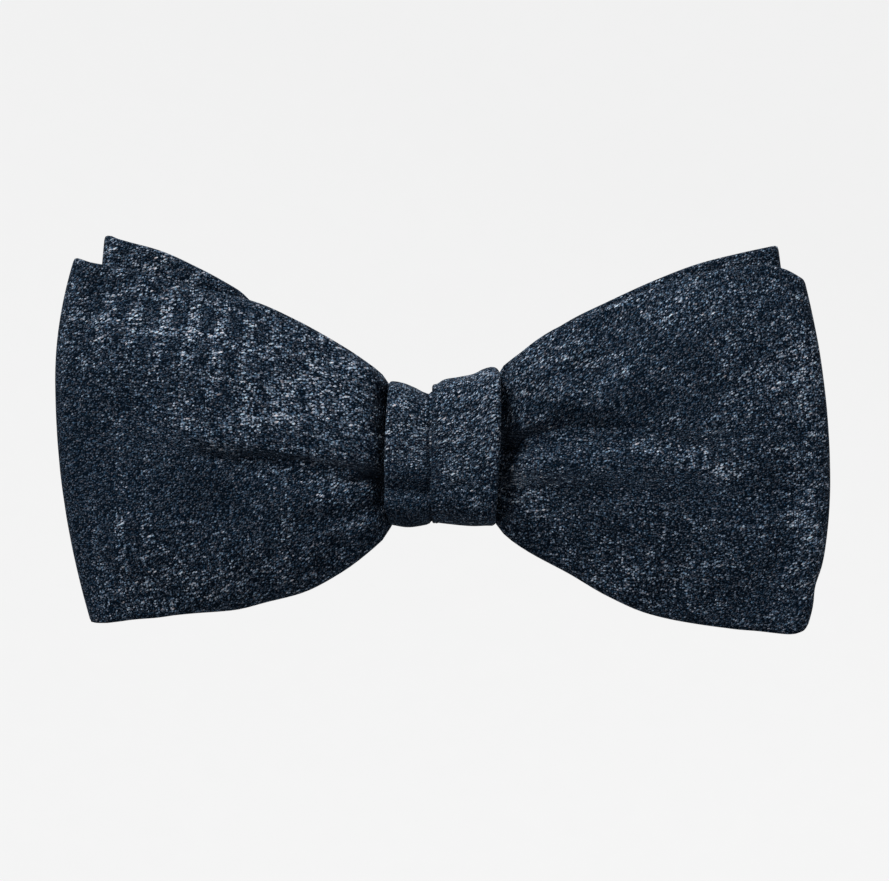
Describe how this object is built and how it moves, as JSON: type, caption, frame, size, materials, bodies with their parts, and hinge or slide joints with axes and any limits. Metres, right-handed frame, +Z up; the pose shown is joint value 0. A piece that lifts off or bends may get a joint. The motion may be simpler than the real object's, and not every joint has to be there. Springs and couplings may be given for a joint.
{
  "type": "bow tie",
  "caption": "Pre-tied bow tie of melange cloth: two stacked folded bows, a pleated knot and a sprung collar clip behind.",
  "frame": {"origin": "on the rear face of the two clip arms, which lies on the collar, at the middle of the knot", "axes": "as worn: +X across the collar to the right seen from the front, +Y back towards the wearer, +Z up; the front of the tie faces -Y"},
  "size_m": [0.12, 0.0241, 0.0612],
  "materials": {
    "bow_cloth": "navy and pale blue melange weave",
    "interlining": "matt non-woven",
    "thread": "spun polyester",
    "label_satin": "woven satin",
    "nickel_plate": "nickel-plated stamped steel",
    "spring_wire": "drawn spring wire"
  },
  "bodies": {
    "bow": {"front_bow_fabric": "bow_cloth", "front_bow_interlining": "interlining", "rear_bow_fabric": "bow_cloth", "rear_bow_interlining": "interlining", "knot_wrap": "bow_cloth", "knot_padding": "interlining", "cinch_thread": "thread", "knot_stitches": "thread", "care_label": "label_satin", "label_stitches": "thread", "clip_backplate": "nickel_plate", "left_rivet": "nickel_plate", "right_rivet": "nickel_plate"},
    "left_arm": {"left_clip_arm": "nickel_plate", "left_hinge_pin": "nickel_plate", "left_lever_spring": "spring_wire"},
    "right_arm": {"right_clip_arm": "nickel_plate", "right_hinge_pin": "nickel_plate", "right_lever_spring": "spring_wire"},
    "left_clip_lever": {"left_lever": "nickel_plate"},
    "right_clip_lever": {"right_lever": "nickel_plate"}
  },
  "joints": [
    {"name": "left_swivel", "type": "hinge", "parent": "bow", "child": "left_arm", "pos_m": [-0.0125, 0, 0], "axis": [0, 1, 0], "range_deg": [-20, 20]},
    {"name": "right_swivel", "type": "hinge", "parent": "bow", "child": "right_arm", "pos_m": [0.0125, 0, 0], "axis": [0, 1, 0], "range_deg": [-20, 20]},
    {"name": "left_lever_open", "type": "hinge", "parent": "left_arm", "child": "left_clip_lever", "pos_m": [-0.023, 0.0026, 0], "axis": [0, 0, -1], "range_deg": [0, 30], "stiffness_Nm_per_rad": 0.02, "springref_deg": -20.05, "deforming": ["left_lever_spring"]},
    {"name": "right_lever_open", "type": "hinge", "parent": "right_arm", "child": "right_clip_lever", "pos_m": [0.023, 0.0026, 0], "axis": [0, 0, 1], "range_deg": [0, 30], "stiffness_Nm_per_rad": 0.02, "springref_deg": -20.05, "deforming": ["right_lever_spring"]}
  ]
}
